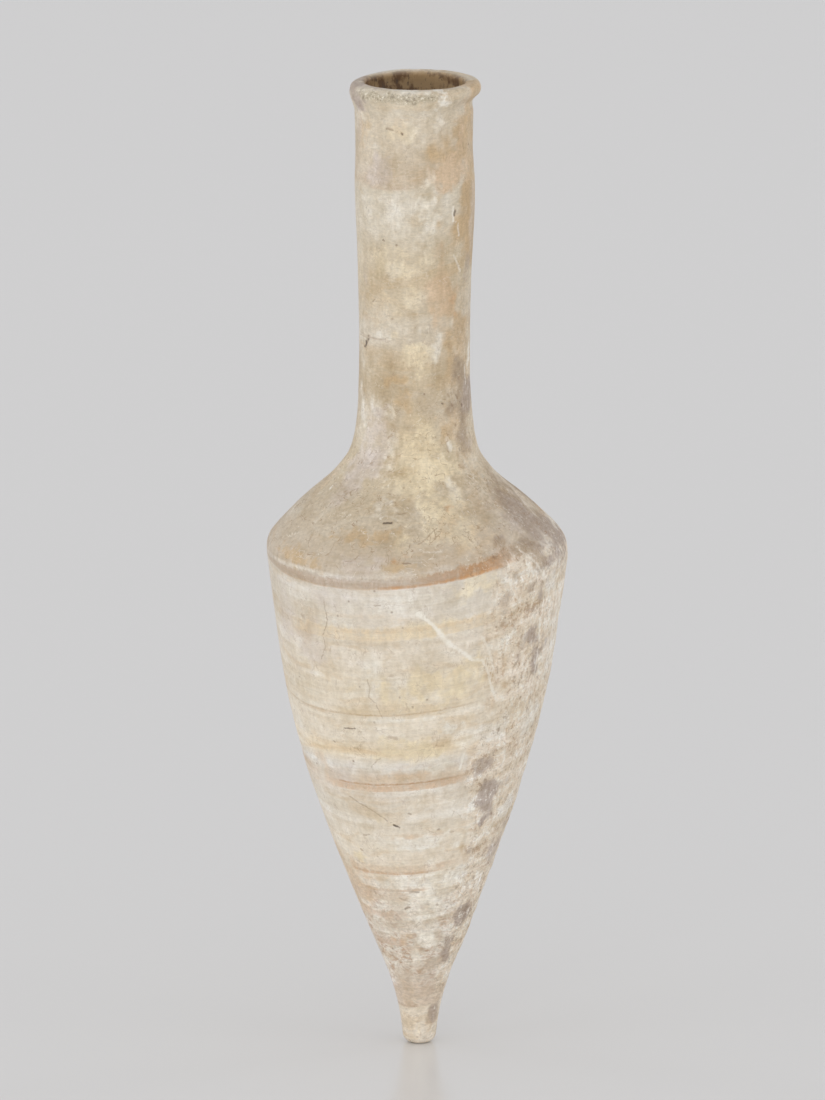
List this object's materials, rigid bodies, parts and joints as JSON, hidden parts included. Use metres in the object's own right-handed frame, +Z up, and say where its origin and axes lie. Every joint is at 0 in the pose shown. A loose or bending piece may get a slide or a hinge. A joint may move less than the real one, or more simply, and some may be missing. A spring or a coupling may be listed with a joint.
{
  "type": "spindle unguentarium",
  "caption": "Tall pointed stone oil vessel with a rolled lip, long bored neck, sloping shoulder and hollow tapering body, joined at its widest circle.",
  "frame": {"origin": "centre of the foot's resting face", "axes": "+Z up the vessel's axis and out of the mouth; the pictured side faces -Y, with +X to its right"},
  "size_m": [0.0912, 0.0912, 0.3],
  "materials": {
    "neck_stone": "satin, worn banded alabaster",
    "body_stone": "satin, worn banded alabaster with mineral crust",
    "cement": "matt lime cement"
  },
  "bodies": {
    "root": {"neck_section": "neck_stone", "joint_cement": "cement", "body_section": "body_stone"}
  },
  "joints": []
}
